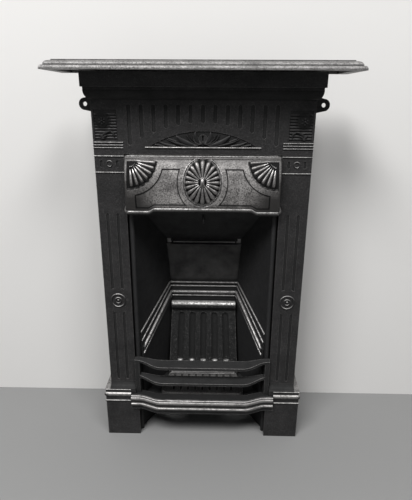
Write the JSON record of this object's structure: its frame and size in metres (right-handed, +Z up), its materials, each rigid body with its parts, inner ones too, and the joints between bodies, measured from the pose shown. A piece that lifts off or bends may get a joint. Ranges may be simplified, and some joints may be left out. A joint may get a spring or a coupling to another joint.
{
  "type": "cast iron fireplace",
  "caption": "Bedroom fireplace with mantel shelf, ornamented hood, splayed firebox, damper flap, lift-out grate and lift-off front bars.",
  "frame": {"origin": "on the hearth, under the middle of the bounding box", "axes": "+X to the viewer's right, +Y back towards the wall, +Z up"},
  "size_m": [0.652, 0.244, 0.965],
  "materials": {
    "black_iron": "matt graphite blacking",
    "polished_iron": "blacking rubbed bright on the raised edges",
    "steel": "dark oiled"
  },
  "bodies": {
    "fireplace": {"mantel_shelf": "polished_iron", "surround": "black_iron", "hood": "polished_iron", "left_cheek": "black_iron", "right_cheek": "black_iron", "back_plate": "black_iron", "left_lining": "polished_iron", "right_lining": "polished_iron", "back_lining": "polished_iron", "fluted_fireback": "polished_iron", "bottom_rail": "polished_iron", "damper_pins": "steel", "shelf_bolts": "steel", "hood_bolts": "steel", "cheek_bolts": "steel", "back_plate_bolts": "steel", "back_plate_nuts": "steel", "lining_bolts": "steel", "rail_bolts": "steel"},
    "damper": {"damper_flap": "black_iron", "damper_handle": "steel"},
    "bars": {"front_bars": "black_iron"},
    "grate": {"bottom_grate": "black_iron"}
  },
  "joints": [
    {"name": "damper_swing", "type": "hinge", "parent": "fireplace", "child": "damper", "pos_m": [0, 0.106, 0.522], "axis": [-1, 0, 0], "range_deg": [0, 50]},
    {"name": "bars_lift", "type": "slide", "parent": "fireplace", "child": "bars", "axis": [0, 0, 1], "range_m": [0, 0.04]},
    {"name": "grate_lift", "type": "slide", "parent": "fireplace", "child": "grate", "axis": [0, 0, 1], "range_m": [0, 0.06]}
  ]
}
